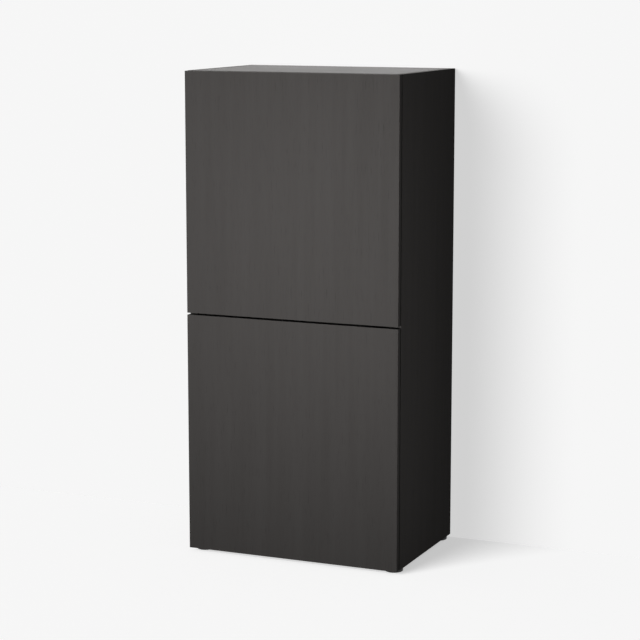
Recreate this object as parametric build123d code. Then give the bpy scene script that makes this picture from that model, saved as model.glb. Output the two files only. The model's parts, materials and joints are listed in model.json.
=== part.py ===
from build123d import *
import os

# Tall two-door shoe cabinet in millimetres: x to the right, y to the rear, z up, the floor at z = 0

# Overall sizes
width = 600.0
depth = 410.0
height = 1290.0
foot_height = 10.0
panel = 18.0
door_thickness = 16.0
door_gap = 4.0
door_reveal = 0.5
gap_between_doors = 5.0
middle_shelf_setback = 12.0
door_edge_round = 1.0

# Planes and levels that the pieces share
door_front = -depth / 2
door_back = door_front + door_thickness
carcass_front = door_back + door_gap
carcass_rear = depth / 2
carcass_bottom = foot_height
carcass_top = height
inner_half = width / 2 - panel
middle_level = (carcass_bottom + carcass_top) / 2
floor_lower = carcass_bottom + panel
ceiling_lower = middle_level - panel / 2
floor_upper = middle_level + panel / 2
ceiling_upper = carcass_top - panel
compartment_floors = {"lower": floor_lower, "upper": floor_upper}
panel_edge_round = 0.6

# Back panels in grooves, joined behind the middle shelf
groove_width = 4.4
groove_depth = 7.0
groove_from_rear = 8.0
groove_end = 8.0
back_thickness = 4.0
back_play = 0.5
strip_web = 1.0
strip_flange = 1.0
strip_height = 15.0
strip_play = 0.5
groove_rear = carcass_rear - groove_from_rear
groove_front = groove_rear - groove_width
back_front = groove_rear - back_thickness

# Adjustable shelves on pins
shelf_thickness = 16.0
shelf_side_play = 1.5
shelf_rear_play = 8.0
shelf_setback = 20.0
pin_hole_diameter = 5.0
pin_hole_depth = 12.0
pin_row_front = 37.0
pin_row_rear = 60.0
pin_pitch = 32.0
pin_first = 128.0
pin_count = 12
low_shelf_hole_count = 3
high_shelf_hole_count = 9
pin_length_in_hole = 10.0
pin_collar_diameter = 7.5
pin_collar = 1.0
pin_nose_length = 8.0
pin_nose_width = 6.0
pin_nose_height = 5.0

# Knock-down fittings: cam locks, cam bolts and dowels
cam_diameter = 15.0
cam_height = 12.5
cam_from_end = 34.0
cam_bore_play = 0.1
cam_slot_width = 1.4
cam_slot_length = 9.0
cam_slot_depth = 2.5
bolt_thread_diameter = 5.0
bolt_thread_length = 11.0
bolt_collar_diameter = 7.0
bolt_collar = 2.0
bolt_shaft_diameter = 5.0
bolt_neck_diameter = 4.0
bolt_neck_length = 7.0
bolt_head_diameter = 6.6
bolt_head = 2.6
bolt_hole_diameter = 7.4
bolt_neck_slot = 4.6
dowel_diameter = 8.0
dowel_length = 30.0
dowel_in_side = 10.0
dowel_end_play = 0.5
dowel_play = 0.1
dowel_chamfer = 1.0
cam_from_front = 60.0
cam_from_rear = 80.0
dowel_from_front = 100.0
dowel_from_rear = 120.0

# Feet
foot_diameter = 48.0
foot_round = 2.5
foot_from_side = 26.0
foot_from_front = 27.0
foot_peg_diameter = 8.0
foot_peg_length = 12.0
foot_peg_play = 0.1

# Wall brackets under the top panel
bracket_width = 30.0
bracket_sheet = 2.0
bracket_leg = 36.0
bracket_drop = 42.0
bracket_from_side = 100.0
bracket_hole = 6.5
bracket_hole_drop = 27.0
back_hole = 8.0
bracket_screw_offset = 8.0
bracket_screw_from_rear = 24.0

# Screws
bracket_screw = {"shank": 3.9, "length": 14.0, "head": 8.0, "head_height": 2.2}
plate_screw = {"shank": 4.2, "length": 14.0, "head": 8.0, "head_height": 2.2}
arm_screw = {"shank": 4.6, "length": 7.0, "head": 8.5, "head_height": 2.4}
cup_screw = {"shank": 3.5, "length": 12.0, "head": 7.0, "head_height": 1.6}
latch_screw = {"shank": 3.5, "length": 14.0, "head": 7.0, "head_height": 2.0}
screw_play = 0.1
screw_head_round = 0.6
recess_width = 1.2
recess_length = 4.4
recess_depth = 1.1

# Concealed cup hinge: u runs inwards from the outer side face, v forwards from the carcass front
hinge_from_door_end = 97.0
hinge_pin_u = 9.0
hinge_pin_in_cup = 8.0
hinge_pin_diameter = 3.0
hinge_pin_play = 0.05
cup_diameter = 35.0
cup_wall = 1.0
cup_depth = 12.5
cup_from_edge = 3.0
cup_bore_play = 0.1
cup_flange = 1.0
cup_flange_ring = 38.0
cup_flange_length = 60.0
cup_flange_width = 14.0
cup_flange_round = 4.6
cup_screw_offset = 9.5
cup_screw_spacing = 48.0
lug_inner = 4.8
lug_outer = 9.2
lug_half_width = 2.4
lug_tail = 4.8
arm_sheet = 2.4
arm_half_width = 4.5
arm_eye_radius = 2.7
arm_neck_ahead_of_pin = 0.8
arm_corner = 3.2
arm_off_panel = 3.4
arm_ramp_start_v = -8.0
arm_ramp_end_v = -18.0
arm_rear_v = -64.0
arm_flange = 1.5
arm_flange_play = 0.3
arm_flange_off_plate = 1.6
plate_base = 2.0
plate_front_v = -22.0
plate_rear_v = -60.0
plate_half_width = 8.0
plate_wing_half_length = 22.0
plate_wing_half_width = 7.0
plate_screw_row = 37.0
plate_screw_half_spacing = 16.0
ridge_height = 5.6
ridge_half_width = 5.4
arm_screw_front_v = -29.0
arm_screw_rear_v = -52.0

# Push latch on the right side panel and its striker on the door
latch_length = 70.0
latch_setback = 4.0
latch_thickness = 14.0
latch_half_height = 9.0
latch_axis_from_side = 8.0
latch_round = 1.5
latch_ear_sheet = 2.5
latch_ear_half_height = 19.0
latch_ear_half_length = 8.0
latch_ear_from_front = 34.0
latch_screw_half_spacing = 14.0
latch_rear_wall = 4.0
plunger_diameter = 7.0
plunger_play = 0.06
plunger_rod_length = 52.0
plunger_cap_diameter = 9.0
plunger_cap = 4.2
plunger_cap_round = 0.5
plunger_gap_to_striker = 0.3
magnet_diameter = 6.0
magnet_thickness = 1.6
striker_diameter = 16.0
striker_thickness = 1.0
spring_wire = 0.7
spring_coil_radius = 2.6
spring_turns = 8

# Soft stops on the back of each door, over the right side panel's front edge
bumper_diameter = 8.0
bumper_thickness = 1.5
bumper_round = 0.6
bumper_from_door_end = 20.0

parts = {}


def block(x_low, x_high, y_low, y_high, z_low, z_high):
    """A box between two corners."""
    centre = Pos((x_low + x_high) / 2, (y_low + y_high) / 2, (z_low + z_high) / 2)
    return centre * Box(x_high - x_low, y_high - y_low, z_high - z_low)


def rod_x(diameter, x_from, x_to, y, z):
    """A round rod along x."""
    return Pos((x_from + x_to) / 2, y, z) * Rot(0, 90, 0) * Cylinder(diameter / 2, abs(x_to - x_from))


def rod_y(diameter, y_from, y_to, x, z):
    """A round rod along y."""
    return Pos(x, (y_from + y_to) / 2, z) * Rot(90, 0, 0) * Cylinder(diameter / 2, abs(y_to - y_from))


def rod_z(diameter, z_from, z_to, x, y):
    """A round rod along z."""
    return Pos(x, y, (z_from + z_to) / 2) * Cylinder(diameter / 2, abs(z_to - z_from))


def at_plan(u, v):
    """The x and y of a point given inwards from the outer side and forwards from the carcass front."""
    return (u - width / 2, carcass_front - v)


def plan_block(u_low, u_high, v_low, v_high, z_low, z_high):
    """A box given in the hinge's own u and v."""
    x_low, y_high = at_plan(u_low, v_low)
    x_high, y_low = at_plan(u_high, v_high)
    return block(x_low, x_high, y_low, y_high, z_low, z_high)


def group(solids):
    """Several equal solids kept as one node."""
    return Compound(children=list(solids))


def screw(size):
    """A pan-head screw with its seat at the origin, the shank down -z and a cross recess in the head."""
    head_top = size["head_height"]
    body = rod_z(size["shank"], -size["length"], 0, 0, 0)
    top = rod_z(size["head"], 0, head_top, 0, 0)
    top = fillet(top.edges().group_by(Axis.Z)[-1], screw_head_round)
    long_half = recess_length / 2
    short_half = recess_width / 2
    recess = block(-long_half, long_half, -short_half, short_half, head_top - recess_depth, head_top)
    return body + top - recess - Rot(0, 0, 90) * recess


# Shared positions
horizontal_undersides = {
    "bottom_panel": carcass_bottom,
    "middle_shelf": ceiling_lower,
    "top_panel": ceiling_upper,
}
door_levels = {
    "lower": (carcass_bottom + door_reveal, middle_level - gap_between_doors / 2),
    "upper": (middle_level + gap_between_doors / 2, carcass_top - door_reveal),
}
hinge_levels = {
    name: [low + hinge_from_door_end, high - hinge_from_door_end]
    for name, (low, high) in door_levels.items()
}
latch_levels = {name: (low + high) / 2 for name, (low, high) in door_levels.items()}
pin_rows = [carcass_front + pin_row_front, carcass_rear - pin_row_rear]
shelf_holes = {"low": low_shelf_hole_count, "high": high_shelf_hole_count}
cam_rows = [carcass_front + cam_from_front, carcass_rear - cam_from_rear]
dowel_rows = [carcass_front + dowel_from_front, carcass_rear - dowel_from_rear]
foot_places = {
    "front_left": (-width / 2 + foot_from_side, carcass_front + foot_from_front),
    "front_right": (width / 2 - foot_from_side, carcass_front + foot_from_front),
    "rear_left": (-width / 2 + foot_from_side, carcass_rear - foot_from_front),
    "rear_right": (width / 2 - foot_from_side, carcass_rear - foot_from_front),
}
bracket_places = {"left": bracket_from_side - width / 2, "right": width / 2 - bracket_from_side}
latch_front = carcass_front + latch_setback
latch_axis_x = inner_half - latch_axis_from_side
latch_screw_y = latch_front + latch_ear_from_front


def side_panel(side):
    """A side panel with its groove, pin rows, joint holes and hardware holes; side is -1 left, +1 right."""
    inner = side * inner_half
    x_low, x_high = sorted((side * width / 2, inner))
    body = block(x_low, x_high, carcass_front, carcass_rear, carcass_bottom, carcass_top)
    body = fillet(body.edges().filter_by(Axis.Z), panel_edge_round)
    groove_floor = inner + side * groove_depth
    cuts = [
        block(
            min(inner, groove_floor),
            max(inner, groove_floor),
            groove_front,
            groove_rear,
            carcass_bottom + groove_end,
            carcass_top - groove_end,
        )
    ]
    for floor in compartment_floors.values():
        for step in range(pin_count):
            level = floor + pin_first + step * pin_pitch
            for row in pin_rows:
                cuts.append(rod_x(pin_hole_diameter, inner, inner + side * pin_hole_depth, row, level))
    for underside in horizontal_undersides.values():
        axis = underside + panel / 2
        for row in cam_rows:
            cuts.append(rod_x(bolt_thread_diameter, inner, inner + side * bolt_thread_length, row, axis))
        for row in dowel_rows:
            hole = dowel_diameter + dowel_play
            cuts.append(rod_x(hole, inner, inner + side * dowel_in_side, row, axis))
    if side < 0:
        hole = plate_screw["shank"] + screw_play
        reach = plate_screw["length"] - plate_base + screw_play
        for levels in hinge_levels.values():
            for level in levels:
                for shift in (-plate_screw_half_spacing, plate_screw_half_spacing):
                    row = carcass_front + plate_screw_row
                    cuts.append(rod_x(hole, inner, inner + side * reach, row, level + shift))
    if side > 0:
        hole = latch_screw["shank"] + screw_play
        reach = latch_screw["length"] - latch_ear_sheet + screw_play
        for level in latch_levels.values():
            for shift in (-latch_screw_half_spacing, latch_screw_half_spacing):
                cuts.append(rod_x(hole, inner, inner + side * reach, latch_screw_y, level + shift))
    return body - cuts


def joint_cuts(underside):
    """The cam, bolt and dowel holes in both ends of a horizontal panel."""
    cuts = []
    axis = underside + panel / 2
    for side in (-1, 1):
        end = side * inner_half
        for row in cam_rows:
            centre = end - side * cam_from_end
            cuts.append(rod_z(cam_diameter + cam_bore_play, underside, underside + cam_height, centre, row))
            cuts.append(rod_x(bolt_hole_diameter, end, centre, row, axis))
        for row in dowel_rows:
            reach = dowel_length - dowel_in_side + dowel_end_play
            cuts.append(rod_x(dowel_diameter + dowel_play, end, end - side * reach, row, axis))
    return cuts


def horizontal_panel(underside, front, rear):
    """A panel between the sides, with softened front edges and its joint holes."""
    body = block(-inner_half, inner_half, front, rear, underside, underside + panel)
    front_edges = body.edges().filter_by(Axis.X).group_by(Axis.Y)[0]
    return fillet(front_edges, panel_edge_round) - joint_cuts(underside)


parts["left_side_panel"] = side_panel(-1)
parts["right_side_panel"] = side_panel(1)

# Top, bottom and the fixed shelf behind the line between the doors
bracket_hole_level = ceiling_upper - bracket_hole_drop
groove_top = ceiling_upper + groove_depth
groove_bottom = floor_lower - groove_depth
top_cuts = [block(-inner_half, inner_half, groove_front, groove_rear, ceiling_upper, groove_top)]
bracket_screw_places = []
for place in bracket_places.values():
    for shift in (-bracket_screw_offset, bracket_screw_offset):
        bracket_screw_places.append((place + shift, back_front - bracket_screw_from_rear))
for x, y in bracket_screw_places:
    hole = bracket_screw["shank"] + screw_play
    reach = bracket_screw["length"] - bracket_sheet + screw_play
    top_cuts.append(rod_z(hole, ceiling_upper, ceiling_upper + reach, x, y))
parts["top_panel"] = horizontal_panel(ceiling_upper, carcass_front, carcass_rear) - top_cuts

bottom_cuts = [block(-inner_half, inner_half, groove_front, groove_rear, groove_bottom, floor_lower)]
for x, y in foot_places.values():
    reach = carcass_bottom + foot_peg_length + foot_peg_play
    bottom_cuts.append(rod_z(foot_peg_diameter + foot_peg_play, carcass_bottom, reach, x, y))
parts["bottom_panel"] = horizontal_panel(carcass_bottom, carcass_front, carcass_rear) - bottom_cuts

middle_front = carcass_front + middle_shelf_setback
middle_rear = back_front - strip_flange - strip_play
parts["middle_shelf"] = horizontal_panel(ceiling_lower, middle_front, middle_rear)

# Back panels and the joining strip between them
back_half = inner_half + groove_depth - back_play
web_low = middle_level - strip_web / 2
web_high = middle_level + strip_web / 2
lower_back = block(-back_half, back_half, back_front, groove_rear, groove_bottom, web_low)
upper_back = block(-back_half, back_half, back_front, groove_rear, web_high, groove_top - back_play)
for place in bracket_places.values():
    upper_back = upper_back - rod_y(back_hole, back_front, groove_rear, place, bracket_hole_level)
parts["back_panel_lower"] = lower_back
parts["back_panel_upper"] = upper_back

strip_half = inner_half - strip_play
strip_low = middle_level - strip_height / 2
strip_high = middle_level + strip_height / 2
strip = block(-strip_half, strip_half, back_front, groove_rear, web_low, web_high)
for flange_front in (back_front - strip_flange, groove_rear):
    flange_rear = flange_front + strip_flange
    strip = strip + block(-strip_half, strip_half, flange_front, flange_rear, strip_low, strip_high)
parts["back_joining_strip"] = strip


def adjustable_shelf(level):
    """A loose shelf lying on the flat tops of its four pins."""
    half = inner_half - shelf_side_play
    front = carcass_front + shelf_setback
    rear = back_front - shelf_rear_play
    underside = level + pin_nose_height / 2
    body = block(-half, half, front, rear, underside, underside + shelf_thickness)
    return fillet(body.edges().filter_by(Axis.X).group_by(Axis.Y)[0], panel_edge_round)


def shelf_pin(side, row, level):
    """A pin with a collar on the side panel and a flat-topped nose under the shelf."""
    inner = side * inner_half
    collar_face = inner - side * pin_collar
    nose_end = collar_face - side * pin_nose_length
    body = rod_x(pin_hole_diameter, inner + side * pin_length_in_hole, inner, row, level)
    body = body + rod_x(pin_collar_diameter, inner, collar_face, row, level)
    nose = block(
        min(collar_face, nose_end),
        max(collar_face, nose_end),
        row - pin_nose_width / 2,
        row + pin_nose_width / 2,
        level - pin_nose_height / 2,
        level + pin_nose_height / 2,
    )
    return body + nose


pins = []
for name, floor in compartment_floors.items():
    for place, hole_count in shelf_holes.items():
        level = floor + pin_first + (hole_count - 1) * pin_pitch
        parts[f"{name}_shelf_{place}"] = adjustable_shelf(level)
        for side in (-1, 1):
            for row in pin_rows:
                pins.append(shelf_pin(side, row, level))
parts["shelf_pins"] = group(pins)


def cam_bolt(side, row, axis):
    """A bolt screwed into the side panel, its head held inside the cam lock."""
    inner = side * inner_half
    centre = inner - side * cam_from_end
    neck_end = centre - side * (bolt_head / 2)
    neck_start = neck_end + side * (bolt_head + bolt_neck_length)
    body = rod_x(bolt_thread_diameter, inner + side * bolt_thread_length, inner, row, axis)
    body = body + rod_x(bolt_collar_diameter, inner, inner - side * bolt_collar, row, axis)
    body = body + rod_x(bolt_shaft_diameter, inner - side * bolt_collar, neck_start, row, axis)
    body = body + rod_x(bolt_neck_diameter, neck_start, neck_end, row, axis)
    return body + rod_x(bolt_head_diameter, neck_end + side * bolt_head, neck_end, row, axis)


def cam_lock(side, row, underside):
    """A cam turned tight on its bolt, with a slot for the screwdriver in the lower face."""
    centre = side * (inner_half - cam_from_end)
    axis = underside + panel / 2
    body = rod_z(cam_diameter, underside, underside + cam_height, centre, row)
    head_side = centre + side * (bolt_head / 2)
    pocket_end = centre - side * bolt_head
    slot_end = centre + side * cam_diameter
    pocket = rod_x(bolt_hole_diameter, head_side, pocket_end, row, axis)
    neck_slot = rod_x(bolt_neck_slot, head_side, slot_end, row, axis)
    reach = cam_slot_length / 2
    drive = block(
        centre - reach,
        centre + reach,
        row - cam_slot_width / 2,
        row + cam_slot_width / 2,
        underside,
        underside + cam_slot_depth,
    )
    cross = Pos(centre, row, 0) * Rot(0, 0, 90) * Pos(-centre, -row, 0) * drive
    return body - pocket - neck_slot - drive - cross


def dowel(side, row, axis):
    """A dowel standing on the bottom of its hole in the side panel."""
    start = side * (inner_half + dowel_in_side)
    end = start - side * dowel_length
    body = rod_x(dowel_diameter, start, end, row, axis)
    return chamfer(body.edges().filter_by(GeomType.CIRCLE), dowel_chamfer)


cam_bolts = []
cam_locks = []
dowels = []
for underside in horizontal_undersides.values():
    for side in (-1, 1):
        for row in cam_rows:
            cam_bolts.append(cam_bolt(side, row, underside + panel / 2))
            cam_locks.append(cam_lock(side, row, underside))
        for row in dowel_rows:
            dowels.append(dowel(side, row, underside + panel / 2))
parts["cam_bolts"] = group(cam_bolts)
parts["cam_locks"] = group(cam_locks)
parts["wood_dowels"] = group(dowels)


def foot(x, y):
    """A round glide with a peg into the bottom panel."""
    pad = rod_z(foot_diameter, 0, foot_height, x, y)
    pad = fillet(pad.edges().group_by(Axis.Z)[0], foot_round)
    return pad + rod_z(foot_peg_diameter, foot_height, foot_height + foot_peg_length, x, y)


for name, (x, y) in foot_places.items():
    parts[f"foot_{name}"] = foot(x, y)


def wall_bracket(place):
    """A bent steel angle: one leg under the top panel, one on the back panel with a hole to the wall."""
    low = place - bracket_width / 2
    high = place + bracket_width / 2
    under = ceiling_upper - bracket_sheet
    lower_end = ceiling_upper - bracket_drop
    flat_leg = block(low, high, back_front - bracket_leg, back_front, under, ceiling_upper)
    upright = block(low, high, back_front - bracket_sheet, back_front, lower_end, ceiling_upper)
    body = flat_leg + upright
    body = body - rod_y(bracket_hole, back_front - bracket_sheet, back_front, place, bracket_hole_level)
    for shift in (-bracket_screw_offset, bracket_screw_offset):
        y = back_front - bracket_screw_from_rear
        body = body - rod_z(bracket_screw["shank"] + screw_play, under, ceiling_upper, place + shift, y)
    return body


for name, place in bracket_places.items():
    parts[f"wall_bracket_{name}"] = wall_bracket(place)
bracket_screw_seat = ceiling_upper - bracket_sheet
parts["wall_bracket_screws"] = group(
    Pos(x, y, bracket_screw_seat) * Rot(180, 0, 0) * screw(bracket_screw) for x, y in bracket_screw_places
)

# Hinge positions
hinge_pin_v = door_gap + hinge_pin_in_cup
arm_neck_v = hinge_pin_v + arm_neck_ahead_of_pin
arm_run_u = panel + arm_off_panel
plate_top_u = panel + plate_base
arm_top_u = plate_top_u + ridge_height
arm_screw_rows = [arm_screw_front_v, arm_screw_rear_v]
cup_centre_u = door_reveal + cup_from_edge + cup_diameter / 2
cup_screw_u = cup_centre_u + cup_screw_offset
cup_floor_v = door_gap + cup_depth
pin_x, pin_y = at_plan(hinge_pin_u, hinge_pin_v)
cup_x, cup_mouth_y = at_plan(cup_centre_u, door_gap)
cup_inner_diameter = cup_diameter - 2 * cup_wall


def hinge_plate(level):
    """A mounting plate screwed to the side panel, with the ridge that carries the arm."""
    row_v = -plate_screw_row
    body = plan_block(
        panel, plate_top_u, plate_rear_v, plate_front_v, level - plate_half_width, level + plate_half_width
    )
    body = body + plan_block(
        panel,
        plate_top_u,
        row_v - plate_wing_half_width,
        row_v + plate_wing_half_width,
        level - plate_wing_half_length,
        level + plate_wing_half_length,
    )
    body = body + plan_block(
        plate_top_u,
        arm_top_u,
        plate_rear_v,
        plate_front_v,
        level - ridge_half_width,
        level + ridge_half_width,
    )
    x_low, row_y = at_plan(panel, row_v)
    x_high, row_y = at_plan(plate_top_u, row_v)
    for shift in (-plate_screw_half_spacing, plate_screw_half_spacing):
        body = body - rod_x(plate_screw["shank"] + screw_play, x_low, x_high, row_y, level + shift)
    for row in arm_screw_rows:
        x_seat, y = at_plan(arm_top_u, row)
        reach = arm_screw["length"] - arm_sheet + screw_play
        body = body - rod_x(arm_screw["shank"] + screw_play, x_seat, x_seat - reach, y, level)
    return body


def hinge_arm(level):
    """A bent arm: an eye round the pin, a neck out of the cup, and a channel that straddles the ridge."""
    half = arm_sheet / 2
    top_u = arm_top_u + arm_sheet
    middle_u = arm_top_u + half
    line = [
        (hinge_pin_u, arm_neck_v),
        (arm_run_u - arm_corner, arm_neck_v),
        (arm_run_u, arm_neck_v - arm_corner),
        (arm_run_u, arm_ramp_start_v),
        (middle_u, arm_ramp_end_v),
        (middle_u, arm_rear_v),
    ]
    points = [at_plan(u, v) for u, v in line]
    centre_line = Polyline(*points)
    strip = offset(centre_line, amount=half, side=Side.BOTH)
    face = make_face(strip.edges())
    body = extrude(face, amount=arm_half_width, both=True)
    body = Pos(0, 0, level) * body
    body = body + rod_z(2 * arm_eye_radius, level - arm_half_width, level + arm_half_width, pin_x, pin_y)
    flange_in = ridge_half_width + arm_flange_play
    flange_out = flange_in + arm_flange
    body = body + plan_block(
        arm_top_u, top_u, arm_rear_v, arm_ramp_end_v, level - flange_out, level + flange_out
    )
    flange_bottom_u = plate_top_u + arm_flange_off_plate
    for low, high in ((-flange_out, -flange_in), (flange_in, flange_out)):
        body = body + plan_block(
            flange_bottom_u, top_u, arm_rear_v, arm_ramp_end_v, level + low, level + high
        )
    bore = hinge_pin_diameter + 2 * hinge_pin_play
    body = body - rod_z(bore, level - arm_half_width, level + arm_half_width, pin_x, pin_y)
    for row in arm_screw_rows:
        x_low, y = at_plan(arm_top_u, row)
        x_high, y = at_plan(top_u, row)
        body = body - rod_x(arm_screw["shank"] + screw_play, x_low, x_high, y, level)
    return body


def hinge_cup(level):
    """A cup pressed into the door: shell, flange, and two lugs that hold the pin."""
    floor_y = at_plan(0, cup_floor_v)[1]
    inner_floor_y = floor_y + cup_wall
    flange_y = cup_mouth_y + cup_flange
    body = rod_y(cup_diameter, floor_y, cup_mouth_y, cup_x, level)
    ring = rod_y(cup_flange_ring, cup_mouth_y, flange_y, cup_x, level)
    screw_x = at_plan(cup_screw_u, 0)[0]
    wing = block(
        screw_x - cup_flange_width / 2,
        screw_x + cup_flange_width / 2,
        cup_mouth_y,
        flange_y,
        level - cup_flange_length / 2,
        level + cup_flange_length / 2,
    )
    wing = fillet(wing.edges().filter_by(Axis.Y), cup_flange_round)
    hollow = rod_y(cup_inner_diameter, inner_floor_y, flange_y, cup_x, level)
    lugs = []
    for low, high in ((-lug_outer, -lug_inner), (lug_inner, lug_outer)):
        lug = block(
            pin_x - lug_tail,
            pin_x + lug_half_width,
            floor_y,
            pin_y + lug_half_width,
            level + low,
            level + high,
        )
        lugs.append(lug & rod_y(cup_diameter, floor_y, cup_mouth_y, cup_x, level))
    body = body + ring + wing - hollow
    for lug in lugs:
        body = body + lug
    body = body - rod_z(hinge_pin_diameter, level - lug_outer, level + lug_outer, pin_x, pin_y)
    for shift in (-cup_screw_spacing / 2, cup_screw_spacing / 2):
        hole = cup_screw["shank"] + screw_play
        body = body - rod_y(hole, cup_mouth_y, flange_y, screw_x, level + shift)
    return body


plate_screws = []
arm_screws = []
for name, levels in hinge_levels.items():
    pins = []
    cup_screws = []
    for place, level in zip(("low", "high"), levels):
        parts[f"{name}_hinge_plate_{place}"] = hinge_plate(level)
        parts[f"{name}_hinge_arm_{place}"] = hinge_arm(level)
        parts[f"{name}_hinge_cup_{place}"] = hinge_cup(level)
        pins.append(rod_z(hinge_pin_diameter, level - lug_outer, level + lug_outer, pin_x, pin_y))
        seat_x, seat_y = at_plan(plate_top_u, -plate_screw_row)
        for offset_z in (-plate_screw_half_spacing, plate_screw_half_spacing):
            plate_screws.append(Pos(seat_x, seat_y, level + offset_z) * Rot(0, 90, 0) * screw(plate_screw))
        for row in arm_screw_rows:
            seat_x, seat_y = at_plan(arm_top_u + arm_sheet, row)
            arm_screws.append(Pos(seat_x, seat_y, level) * Rot(0, 90, 0) * screw(arm_screw))
        for offset_z in (-cup_screw_spacing / 2, cup_screw_spacing / 2):
            seat_x, seat_y = at_plan(cup_screw_u, door_gap - cup_flange)
            cup_screws.append(Pos(seat_x, seat_y, level + offset_z) * Rot(-90, 0, 0) * screw(cup_screw))
    parts[f"{name}_hinge_pins"] = group(pins)
    parts[f"{name}_cup_screws"] = group(cup_screws)
parts["hinge_plate_screws"] = group(plate_screws)
parts["hinge_arm_screws"] = group(arm_screws)


def door(name):
    """A plain door front with its cup bores and screw holes in the back."""
    low, high = door_levels[name]
    half = width / 2 - door_reveal
    body = block(-half, half, door_front, door_back, low, high)
    body = fillet(body.edges(), door_edge_round)
    bore_floor = door_back - cup_depth
    screw_x = at_plan(cup_screw_u, 0)[0]
    screw_reach = door_back - (cup_screw["length"] - cup_flange + screw_play)
    cuts = []
    for level in hinge_levels[name]:
        cuts.append(rod_y(cup_diameter + cup_bore_play, bore_floor, door_back, cup_x, level))
        for offset_z in (-cup_screw_spacing / 2, cup_screw_spacing / 2):
            hole = cup_screw["shank"] + screw_play
            cuts.append(rod_y(hole, screw_reach, door_back, screw_x, level + offset_z))
    return body - cuts


def bumper(level):
    """A soft dot stuck to the door, which meets the side panel when the door is pressed in."""
    x = width / 2 - panel / 2
    body = rod_y(bumper_diameter, door_back, door_back + bumper_thickness, x, level)
    return fillet(body.edges().group_by(Axis.Y)[-1], bumper_round)


def latch_housing(level):
    """A push-latch body with ears for two screws and a bore for the plunger."""
    rear = latch_front + latch_length
    body = block(
        inner_half - latch_thickness,
        inner_half,
        latch_front,
        rear,
        level - latch_half_height,
        level + latch_half_height,
    )
    body = fillet(body.edges().filter_by(Axis.Y).group_by(Axis.X)[0], latch_round)
    ears = block(
        inner_half - latch_ear_sheet,
        inner_half,
        latch_screw_y - latch_ear_half_length,
        latch_screw_y + latch_ear_half_length,
        level - latch_ear_half_height,
        level + latch_ear_half_height,
    )
    ears = fillet(ears.edges().filter_by(Axis.X), latch_round)
    body = body + ears
    bore = plunger_diameter + 2 * plunger_play
    body = body - rod_y(bore, latch_front, rear - latch_rear_wall, latch_axis_x, level)
    for offset_z in (-latch_screw_half_spacing, latch_screw_half_spacing):
        hole = latch_screw["shank"] + screw_play
        x_low = inner_half - latch_ear_sheet
        body = body - rod_x(hole, x_low, inner_half, latch_screw_y, level + offset_z)
    return body


plunger_tip = door_back + striker_thickness + plunger_gap_to_striker
plunger_cap_rear = plunger_tip + plunger_cap
plunger_rear = plunger_cap_rear + plunger_rod_length
magnet_rear = plunger_tip + magnet_thickness
spring_rear = latch_front + latch_length - latch_rear_wall


def plunger(level):
    """The latch rod with its cap, recessed for the magnet."""
    body = rod_y(plunger_cap_diameter, plunger_tip, plunger_cap_rear, latch_axis_x, level)
    body = fillet(body.edges().group_by(Axis.Y)[0], plunger_cap_round)
    body = body + rod_y(plunger_diameter, plunger_cap_rear, plunger_rear, latch_axis_x, level)
    return body - rod_y(magnet_diameter, plunger_tip, magnet_rear, latch_axis_x, level)


def latch_spring(level):
    """The coil spring between the plunger and the housing's rear wall, as it is with the door shut."""
    length = spring_rear - plunger_rear - spring_wire
    path = Helix(pitch=length / spring_turns, height=length, radius=spring_coil_radius)
    start = Plane(origin=path @ 0, z_dir=path % 0)
    coil = sweep(start * Circle(spring_wire / 2), path=path)
    return Pos(latch_axis_x, plunger_rear + spring_wire / 2, level) * Rot(-90, 0, 0) * coil


latch_screws = []
for name, level in latch_levels.items():
    low, high = door_levels[name]
    bumper_levels = (low + bumper_from_door_end, high - bumper_from_door_end)
    parts[f"{name}_door"] = door(name)
    parts[f"{name}_door_bumpers"] = group(bumper(place) for place in bumper_levels)
    parts[f"{name}_door_striker"] = rod_y(
        striker_diameter, door_back, door_back + striker_thickness, latch_axis_x, level
    )
    parts[f"{name}_latch_housing"] = latch_housing(level)
    parts[f"{name}_latch_plunger"] = plunger(level)
    parts[f"{name}_latch_magnet"] = rod_y(magnet_diameter, plunger_tip, magnet_rear, latch_axis_x, level)
    parts[f"{name}_latch_spring"] = latch_spring(level)
    for offset_z in (-latch_screw_half_spacing, latch_screw_half_spacing):
        seat = Pos(inner_half - latch_ear_sheet, latch_screw_y, level + offset_z)
        latch_screws.append(seat * Rot(0, -90, 0) * screw(latch_screw))
parts["latch_screws"] = group(latch_screws)

os.makedirs("parts", exist_ok=True)
for name, shape in parts.items():
    export_step(shape, f"parts/{name}.step")
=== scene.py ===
import json
import math

import bpy
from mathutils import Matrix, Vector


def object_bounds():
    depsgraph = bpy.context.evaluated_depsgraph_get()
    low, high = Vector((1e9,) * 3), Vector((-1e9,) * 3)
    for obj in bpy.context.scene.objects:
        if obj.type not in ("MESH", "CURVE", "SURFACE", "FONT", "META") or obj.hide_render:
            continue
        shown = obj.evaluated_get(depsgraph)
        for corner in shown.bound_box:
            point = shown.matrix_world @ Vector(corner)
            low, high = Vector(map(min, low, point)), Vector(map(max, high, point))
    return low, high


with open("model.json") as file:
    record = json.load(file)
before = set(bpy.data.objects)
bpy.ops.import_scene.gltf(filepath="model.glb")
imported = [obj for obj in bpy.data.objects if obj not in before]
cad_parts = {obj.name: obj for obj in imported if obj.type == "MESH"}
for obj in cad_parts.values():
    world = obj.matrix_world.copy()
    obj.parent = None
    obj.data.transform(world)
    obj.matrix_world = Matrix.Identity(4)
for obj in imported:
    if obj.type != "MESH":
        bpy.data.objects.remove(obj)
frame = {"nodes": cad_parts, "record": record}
cad_low, cad_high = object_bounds()
cad_nodes = frame["nodes"]

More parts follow.
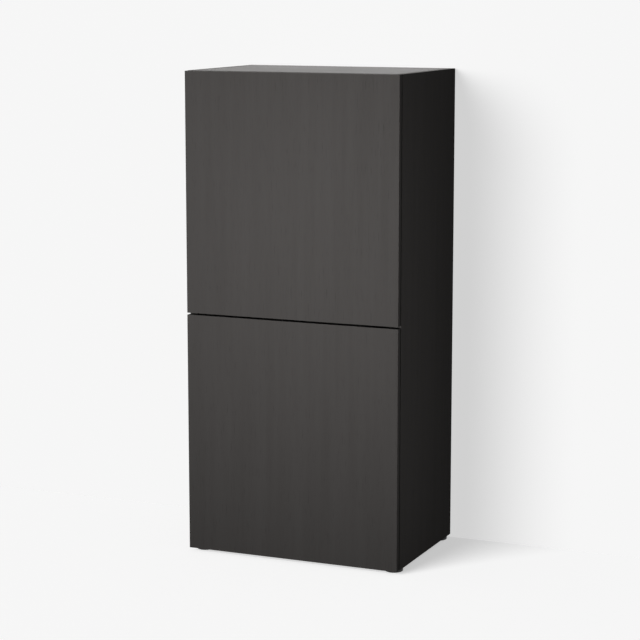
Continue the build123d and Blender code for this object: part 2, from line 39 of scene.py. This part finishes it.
# Camera fitted to the outline in the photograph: metres, degrees, pixels and a sensor in millimetres
camera_place = (2.130, -4.954, 1.515)
camera_yaw = 23.31
camera_pitch = 9.41
camera_reach = 60.0
focal_pixels = 2035.0
frame_pixels = 640.0
sensor_width = 36.0

# Colours, linear
foil_dark = (0.0700, 0.0660, 0.0635, 1.0)
foil_light = (0.0765, 0.0722, 0.0700, 1.0)
board_raw_dark = (0.19, 0.118, 0.066, 1.0)
board_raw_light = (0.27, 0.174, 0.100, 1.0)
black_plastic = (0.012, 0.012, 0.012, 1.0)
grey_plastic = (0.045, 0.045, 0.046, 1.0)
light_plastic = (0.22, 0.22, 0.22, 1.0)
nickel = (0.62, 0.60, 0.56, 1.0)
zinc = (0.44, 0.45, 0.46, 1.0)
steel = (0.36, 0.36, 0.37, 1.0)
beech_dark = (0.42, 0.25, 0.12, 1.0)
beech_light = (0.58, 0.38, 0.20, 1.0)
white = (1.0, 1.0, 1.0, 1.0)

# The range where most of a noise's values lie
noise_middle = (0.3, 0.7)

# Grain of the foil: marks per metre across the grain, and the share of that along it
streak_scale = 38.0
streak_along = 0.045
streak_middle = (0.32, 0.68)
pore_scale = 620.0
pore_along = 0.03
pore_peaks = (0.60, 0.74)
pore_cover = 0.55
pore_darkness = 0.55
cloud_scale = 3.5
foil_roughness = (0.30, 0.36)

# Specular level of the matt foil on upright panels, on panels that lie flat and on the back boards
upright_gloss = 0.001
lying_gloss = 0.013
board_gloss = 0.03

# Raw side of the back boards: marks per metre and mixes of its two colours
fibre_scale = 900.0
fibre_peaks = (0.5, 0.8)
fibre_cover = 0.5
blotch_scale = 9.0
blotch_mix = (0.35, 0.6)
board_roughness = (0.45, 0.85)
rear_facing = (0.2, 0.6)

# Metals: marks and stains per metre, and how far the marks vary the roughness
metal_mark_scale = 1400.0
stain_scale = 70.0
stain_peaks = (0.35, 0.75)
stain_cover = 0.7
stain_darkness = 0.85
metal_smoother = 0.05
metal_rougher = 0.06

# Plastics: grain and handled patches per metre, and how far the grain varies the roughness
plastic_grain_scale = 2200.0
patch_scale = 45.0
patch_peaks = (0.4, 0.75)
patch_cover = 0.8
patch_darkness = 0.75
plastic_smoother = 0.05
plastic_rougher = 0.07

# Beech: rings per metre across the grain, and the share of that along it
ring_scale = 420.0
ring_along = 0.06
beech_roughness = 0.65

# Brightness of the white stage where it is seen, and of the light that it and the sky send to the object
stage_white = 0.926
stage_bounce = 0.06
world_light = 0.08

# Stage planes, metres
stage_reach = 9.0
wall_gap = 0.006
wall_height = 6.0

# The sun that only the stage receives: degrees left of the front, above the floor and across its disc
sun_left = 23.0
sun_height = 17.0
sun_spread = 34.0
wall_shadow_depth = 0.28
floor_shadow_depth = 0.34


class NodeTree:
    """Short ways to add nodes to a node tree."""

    def __init__(self, tree):
        self.tree = tree

    def add(self, kind, **settings):
        node = self.tree.nodes.new(kind)
        for key, value in settings.items():
            setattr(node, key, value)
        return node

    def join(self, output, target):
        self.tree.links.new(output, target)

    def remap(self, source, taken, given=(0.0, 1.0)):
        """Stretches the range that is taken from the source to the range that is given."""
        ranged = self.add("ShaderNodeMapRange")
        ranged.inputs["From Min"].default_value, ranged.inputs["From Max"].default_value = taken
        ranged.inputs["To Min"].default_value, ranged.inputs["To Max"].default_value = given
        self.join(source, ranged.inputs["Value"])
        return ranged.outputs["Result"]


class Shader(NodeTree):
    """A material with a Principled shader and textures in the object's own metres."""

    def __init__(self, name):
        self.material = bpy.data.materials.new(name)
        self.material.use_nodes = True
        super().__init__(self.material.node_tree)
        self.surface = self.tree.nodes["Principled BSDF"]
        self.coordinates = self.add("ShaderNodeTexCoord")

    def value(self, socket, number):
        self.surface.inputs[socket].default_value = number

    def drive(self, socket, output):
        self.join(output, self.surface.inputs[socket])

    def noise(self, scale, detail=3.0, roughness=0.5, stretch=(1.0, 1.0, 1.0)):
        """Noise with about scale marks per metre; stretch multiplies the scale along each axis."""
        mapping = self.add("ShaderNodeMapping")
        mapping.inputs["Scale"].default_value = stretch
        self.join(self.coordinates.outputs["Object"], mapping.inputs["Vector"])
        texture = self.add("ShaderNodeTexNoise")
        texture.inputs["Scale"].default_value = scale
        texture.inputs["Detail"].default_value = detail
        texture.inputs["Roughness"].default_value = roughness
        self.join(mapping.outputs["Vector"], texture.inputs["Vector"])
        return texture.outputs["Fac"]

    def blend(self, factor, first, second):
        """A mix of two colours; each is a colour or another node's output."""
        mixed = self.add("ShaderNodeMix", data_type="RGBA")
        for socket, colour in (("A", first), ("B", second)):
            target = [s for s in mixed.inputs if s.name == socket and s.type == "RGBA"][0]
            if isinstance(colour, tuple):
                target.default_value = colour
            else:
                self.join(colour, target)
        self.join(factor, mixed.inputs["Factor"])
        return [s for s in mixed.outputs if s.type == "RGBA"][0]

    def bump(self, height, strength, distance, below=None):
        """A relief of the height over a distance in metres, on top of another relief."""
        node = self.add("ShaderNodeBump")
        node.inputs["Strength"].default_value = strength
        node.inputs["Distance"].default_value = distance
        self.join(height, node.inputs["Height"])
        if below is not None:
            self.join(below, node.inputs["Normal"])
        return node.outputs["Normal"]


def darker(colour, share):
    """The same colour with its three parts multiplied by a share."""
    return tuple(share * part for part in colour[:3]) + (1.0,)


def grain_stretch(axis, along):
    """Full scale across the grain and a share of it along the grain's axis."""
    stretch = [1.0, 1.0, 1.0]
    stretch["xyz".index(axis)] = along
    return tuple(stretch)


def foil_streaks(shader, axis):
    """The broad faint streaks of the printed foil, as a height and as a colour."""
    stretch = grain_stretch(axis, streak_along)
    streaks = shader.noise(streak_scale, detail=4.0, roughness=0.6, stretch=stretch)
    return streaks, shader.blend(shader.remap(streaks, streak_middle), foil_dark, foil_light)


def foil(name, axis, gloss):
    """Black-brown printed foil: streaks, fine pores along the grain and a matt lacquer."""
    shader = Shader(name)
    streaks, tone = foil_streaks(shader, axis)
    pores = shader.noise(pore_scale, detail=2.0, roughness=0.6, stretch=grain_stretch(axis, pore_along))
    clouds = shader.noise(cloud_scale, detail=2.0)
    pore_mask = shader.remap(pores, pore_peaks, (0.0, pore_cover))
    shader.drive("Base Color", shader.blend(pore_mask, tone, darker(foil_dark, pore_darkness)))
    shader.drive("Roughness", shader.remap(clouds, noise_middle, foil_roughness))
    pore_relief = shader.bump(pores, strength=0.10, distance=0.0003)
    shader.drive("Normal", shader.bump(streaks, strength=0.05, distance=0.0006, below=pore_relief))
    shader.value("Specular IOR Level", gloss)
    return shader.material


def backing(name):
    """Back board: printed foil towards the room and raw brown fibreboard behind."""
    shader = Shader(name)
    front = foil_streaks(shader, "z")[1]
    fibres = shader.noise(fibre_scale, detail=4.0, roughness=0.7)
    blotches = shader.noise(blotch_scale, roughness=0.55)
    raw = shader.blend(shader.remap(blotches, noise_middle, blotch_mix), board_raw_dark, board_raw_light)
    raw = shader.blend(shader.remap(fibres, fibre_peaks, (0.0, fibre_cover)), raw, board_raw_dark)
    split = shader.add("ShaderNodeSeparateXYZ")
    shader.join(shader.coordinates.outputs["Normal"], split.inputs["Vector"])
    facing_rear = shader.remap(split.outputs["Y"], rear_facing)
    shader.drive("Base Color", shader.blend(facing_rear, front, raw))
    shader.drive("Roughness", shader.remap(facing_rear, (0.0, 1.0), board_roughness))
    shader.drive("Normal", shader.bump(fibres, strength=0.12, distance=0.0004))
    shader.value("Specular IOR Level", board_gloss)
    return shader.material


def metal(name, colour, roughness, brush, mark_strength):
    """Plated or cast metal with fine marks; a brush below 1 draws the marks out along z."""
    shader = Shader(name)
    marks = shader.noise(metal_mark_scale, roughness=0.65, stretch=grain_stretch("z", brush))
    stains = shader.remap(shader.noise(stain_scale), stain_peaks, (0.0, stain_cover))
    shader.drive("Base Color", shader.blend(stains, colour, darker(colour, stain_darkness)))
    varied = (roughness - metal_smoother, roughness + metal_rougher)
    shader.drive("Roughness", shader.remap(marks, noise_middle, varied))
    shader.drive("Normal", shader.bump(marks, strength=mark_strength, distance=0.0002))
    shader.value("Metallic", 1.0)
    return shader.material


def plastic(name, colour, roughness):
    """Moulded plastic with a fine spark-eroded grain and slightly darker handled patches."""
    shader = Shader(name)
    grain = shader.noise(plastic_grain_scale, detail=2.0, roughness=0.6)
    patches = shader.remap(shader.noise(patch_scale, roughness=0.55), patch_peaks, (0.0, patch_cover))
    shader.drive("Base Color", shader.blend(patches, colour, darker(colour, patch_darkness)))
    varied = (roughness - plastic_smoother, roughness + plastic_rougher)
    shader.drive("Roughness", shader.remap(grain, noise_middle, varied))
    shader.drive("Normal", shader.bump(grain, strength=0.15, distance=0.0002))
    return shader.material


def beech(name):
    """Pale turned hardwood, grain along x."""
    shader = Shader(name)
    rings = shader.noise(ring_scale, roughness=0.6, stretch=grain_stretch("x", ring_along))
    shader.drive("Base Color", shader.blend(shader.remap(rings, noise_middle), beech_dark, beech_light))
    shader.drive("Normal", shader.bump(rings, strength=0.2, distance=0.0003))
    shader.value("Roughness", beech_roughness)
    return shader.material


foil_upright = foil("foil_grain_upright", "z", upright_gloss)
foil_lying = foil("foil_grain_across", "x", lying_gloss)
finishes = {
    "carcass_foil": foil_upright,
    "door_foil": foil_upright,
    "back_board": backing("back_board_foil"),
    "black_plastic": plastic("strip_black_plastic", black_plastic, roughness=0.45),
    "foot_plastic": plastic("glide_black_plastic", black_plastic, roughness=0.5),
    "beech": beech("dowel_beech"),
    "zinc": metal("die_cast_zinc", zinc, roughness=0.42, brush=1.0, mark_strength=0.06),
    "nickel_steel": metal("nickel_plated_steel", nickel, roughness=0.24, brush=0.3, mark_strength=0.015),
    "plain_steel": metal("zinc_plated_steel", steel, roughness=0.36, brush=0.25, mark_strength=0.04),
    "magnet": metal("magnet_plating", steel, roughness=0.22, brush=1.0, mark_strength=0.03),
    "bumper_rubber": plastic("stop_dot_rubber", black_plastic, roughness=0.62),
    "latch_plastic": plastic("latch_grey_plastic", grey_plastic, roughness=0.42),
    "plunger_plastic": plastic("plunger_light_plastic", light_plastic, roughness=0.4),
}
slots = {part["node"]: part["material_slot"] for part in frame["record"]["subparts"]}
loose_shelves = [name for name in cad_nodes if "_shelf_" in name]
lying_panels = ["top_panel", "bottom_panel", "middle_shelf"] + loose_shelves
for name, node in cad_nodes.items():
    node.data.materials.clear()
    node.data.materials.append(foil_lying if name in lying_panels else finishes[slots[name]])


def seen_directly(tree):
    """1 for camera, glossy and transmission rays, which see the plain white stage; 0 for the rest."""
    path = tree.add("ShaderNodeLightPath")
    total = path.outputs["Is Camera Ray"]
    for name in ("Is Glossy Ray", "Is Transmission Ray"):
        larger = tree.add("ShaderNodeMath", operation="MAXIMUM")
        tree.join(total, larger.inputs[0])
        tree.join(path.outputs[name], larger.inputs[1])
        total = larger.outputs["Value"]
    return total


def mix_shaders(tree, factor, first, second):
    """The first surface where the factor is 0 and the second where it is 1."""
    mixed = tree.add("ShaderNodeMixShader")
    tree.join(factor, mixed.inputs["Fac"])
    tree.join(first, mixed.inputs[1])
    tree.join(second, mixed.inputs[2])
    return mixed.outputs["Shader"]


def emission(tree, strength):
    """A plain white glow."""
    glow = tree.add("ShaderNodeEmission")
    glow.inputs["Strength"].default_value = strength
    return glow.outputs["Emission"]


def stage_material(name, shadow_depth, sun_slant, one_sided):
    """Plain white stage that keeps the object's shadow; a one-sided wall is clear from behind."""
    shader = Shader(name)
    shader.material.cycles.emission_sampling = "NONE"
    share = shadow_depth / sun_slant
    sunlit = shader.add("ShaderNodeBsdfDiffuse")
    sunlit.inputs["Color"].default_value = (share, share, share, 1.0)
    seen = shader.add("ShaderNodeAddShader")
    shader.join(emission(shader, stage_white - shadow_depth - share * world_light), seen.inputs[0])
    shader.join(sunlit.outputs["BSDF"], seen.inputs[1])
    bounce = emission(shader, stage_bounce)
    surface = mix_shaders(shader, seen_directly(shader), bounce, seen.outputs["Shader"])
    if one_sided:
        behind = shader.add("ShaderNodeNewGeometry").outputs["Backfacing"]
        clear = shader.add("ShaderNodeBsdfTransparent").outputs["BSDF"]
        surface = mix_shaders(shader, behind, surface, clear)
    shader.join(surface, shader.tree.nodes["Material Output"].inputs["Surface"])
    return shader.material


def stage_plane(name, corners, material):
    """A flat piece of the studio, which is no part of the object."""
    mesh = bpy.data.meshes.new(name)
    mesh.from_pydata(corners, [], [(0, 1, 2, 3)])
    mesh.materials.append(material)
    plane = bpy.data.objects.new(name, mesh)
    bpy.context.scene.collection.objects.link(plane)
    return plane


wall_y = cad_high.y + wall_gap
sun_to_wall = math.cos(math.radians(sun_left)) * math.cos(math.radians(sun_height))
sun_to_floor = math.sin(math.radians(sun_height))
floor = stage_plane(
    "studio_floor",
    [
        (-stage_reach, -stage_reach, 0.0),
        (stage_reach, -stage_reach, 0.0),
        (stage_reach, stage_reach, 0.0),
        (-stage_reach, stage_reach, 0.0),
    ],
    stage_material("stage_floor_white", floor_shadow_depth, sun_to_floor / sun_to_wall, one_sided=False),
)
wall = stage_plane(
    "studio_wall",
    [
        (-stage_reach, wall_y, 0.0),
        (stage_reach, wall_y, 0.0),
        (stage_reach, wall_y, wall_height),
        (-stage_reach, wall_y, wall_height),
    ],
    stage_material("stage_wall_white", wall_shadow_depth, 1.0, one_sided=True),
)
wall.visible_shadow = False
wall.visible_diffuse = False


def receivers(name, state):
    """A list of the stage planes that a lamp lights alone, or leaves out."""
    planes = bpy.data.collections.new(name)
    for plane in (floor, wall):
        planes.objects.link(plane)
    for entry in planes.collection_objects:
        entry.light_linking.link_state = state
    return planes


stage_alone = receivers("stage_alone", "INCLUDE")
stage_left_out = receivers("stage_left_out", "EXCLUDE")


def lamp(name, kind, place, aim, power, lit):
    """A lamp turned towards a point, which lights only its own receivers and isn't seen itself."""
    light = bpy.data.lights.new(name, kind)
    light.energy = power
    holder = bpy.data.objects.new(name, light)
    bpy.context.scene.collection.objects.link(holder)
    holder.location = place
    direction = [a - p for a, p in zip(aim, place)]
    yaw = math.atan2(direction[1], direction[0])
    flat = math.hypot(direction[0], direction[1])
    holder.rotation_euler = (math.atan2(flat, -direction[2]), 0.0, yaw - math.pi / 2)
    holder.visible_camera = False
    holder.light_linking.receiver_collection = lit
    return holder


def softbox(name, place, aim, size, power, spread=180.0, mirrored=True):
    """A rectangular lamp for the object; a grid may narrow its spread, and glossy surfaces may miss it."""
    holder = lamp(name, "AREA", place, aim, power, stage_left_out)
    holder.data.shape = "RECTANGLE"
    holder.data.size, holder.data.size_y = size
    holder.data.spread = math.radians(spread)
    holder.visible_glossy = mirrored


# Lamps in metres, watts and degrees. The key stands low and far in front, so the doors fade downwards
softbox(
    "key_softbox",
    place=(0.08, -5.2, 0.42),
    aim=(0.08, -0.2, 0.97),
    size=(0.6, 0.8),
    power=8.75,
    spread=35.0,
    mirrored=False,
)
softbox(
    "left_softbox",
    place=(-3.6, -0.6, 2.0),
    aim=(0.0, 0.0, 0.7),
    size=(2.0, 1.8),
    power=80.0,
    mirrored=False,
)
softbox("right_strip", place=(0.70, -0.22, 0.66), aim=(0.30, -0.22, 0.66), size=(0.12, 1.4), power=0.57)
softbox("top_softbox", place=(-0.75, 0.1, 3.4), aim=(0.0, 0.0, 1.2), size=(2.0, 1.4), power=66.0)
softbox("rear_fill", place=(-1.5, 4.5, 2.2), aim=(0.0, 0.0, 0.7), size=(2.5, 2.0), power=90.0)

to_sun = (-math.tan(math.radians(sun_left)), -1.0, sun_to_floor / sun_to_wall)
stage_sun = lamp("stage_sun", "SUN", to_sun, (0.0, 0.0, 0.0), math.pi / sun_to_wall, stage_alone)
stage_sun.data.angle = math.radians(sun_spread)

world = bpy.data.worlds.new("studio_world")
world.use_nodes = True
background = world.node_tree.nodes["Background"]
background.inputs["Color"].default_value = white
sky = NodeTree(world.node_tree)
sky_strength = sky.remap(seen_directly(sky), (0.0, 1.0), (world_light, stage_white))
sky.join(sky_strength, background.inputs["Strength"])
bpy.context.scene.world = world
bpy.context.scene.view_settings.view_transform = "Standard"

camera = bpy.data.cameras.new("photo_camera")
camera.sensor_width = sensor_width
camera.lens = focal_pixels / frame_pixels * sensor_width
camera.clip_end = camera_reach
camera_holder = bpy.data.objects.new("photo_camera", camera)
bpy.context.scene.collection.objects.link(camera_holder)
camera_holder.location = camera_place
camera_holder.rotation_euler = (math.radians(90.0 - camera_pitch), 0.0, math.radians(camera_yaw))
bpy.context.scene.camera = camera_holder
